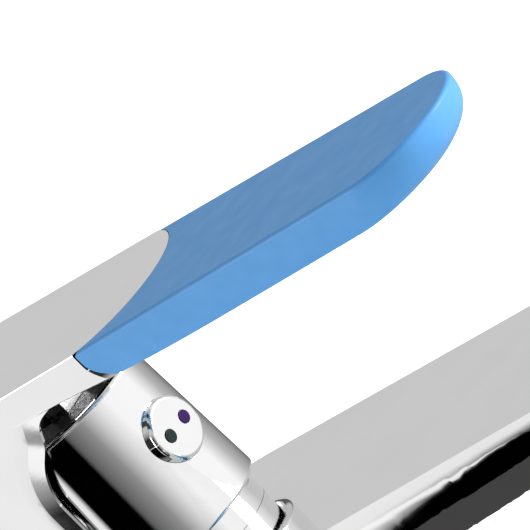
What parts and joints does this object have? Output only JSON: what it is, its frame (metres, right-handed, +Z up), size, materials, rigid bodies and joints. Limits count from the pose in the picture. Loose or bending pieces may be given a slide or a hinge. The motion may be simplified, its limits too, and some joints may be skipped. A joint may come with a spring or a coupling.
{
  "type": "basin mixer tap",
  "caption": "Chrome single-lever basin mixer tap with a flat spout, a hooded lever with a blue grip, and a round indicator button on the barrel.",
  "frame": {"origin": "centre of the round base on the deck surface, on the axis of the column, barrel and lever swivel", "axes": "+X along the spout and the closed lever towards their tips, +Y to the hot side, +Z up from the deck"},
  "size_m": [0.1781, 0.053, 0.137],
  "materials": {
    "chrome": "polished",
    "blue_grip": "satin",
    "hot_dot": "gloss",
    "cold_dot": "gloss",
    "black_plastic": "matt",
    "grey_plastic": "moulded",
    "white_plastic": "moulded",
    "red_plastic": "moulded",
    "ceramic": "lapped",
    "rubber": "moulded",
    "steel": "machined",
    "brass": "machined"
  },
  "bodies": {
    "tap_body": {"spout_body": "chrome", "valve_body": "brass", "water_tube": "brass", "base_seal": "rubber", "neck_ring": "chrome", "barrel_shell": "chrome", "barrel_seal": "rubber", "indicator_button": "chrome", "hot_marker": "hot_dot", "cold_marker": "cold_dot", "cartridge_base": "grey_plastic", "port_seals": "rubber", "disc_seals": "rubber", "fixed_ceramic_disc": "ceramic", "cartridge_housing": "grey_plastic", "stop_ring": "red_plastic", "retaining_nut": "brass", "aerator_housing": "chrome", "aerator_insert": "grey_plastic", "aerator_screen": "steel", "aerator_seal": "rubber"},
    "swivel": {"cartridge_rotor": "white_plastic", "rotor_seal": "rubber", "pivot_pin": "steel", "slide_cover": "black_plastic"},
    "disc": {"moving_ceramic_disc": "ceramic", "disc_carrier": "white_plastic"},
    "lever": {"lever_stem": "steel", "lever_hood": "chrome", "lever_grip": "blue_grip", "set_screw": "steel", "screw_plug": "chrome"}
  },
  "joints": [
    {"name": "temperature", "type": "hinge", "parent": "tap_body", "child": "swivel", "pos_m": [0, 0, 0.104], "axis": [0, 0, 1], "range_deg": [-45, 45]},
    {"name": "lift", "type": "hinge", "parent": "swivel", "child": "lever", "pos_m": [0, 0, 0.104], "axis": [0, -1, 0], "range_deg": [0, 20]},
    {"name": "disc_slide", "type": "slide", "parent": "swivel", "child": "disc", "axis": [1, 0, 0], "range_m": [0, 0.0028]}
  ],
  "couplings": [
    {"joint": "disc_slide", "follows": "lift", "m_per_rad": 0.008}
  ]
}
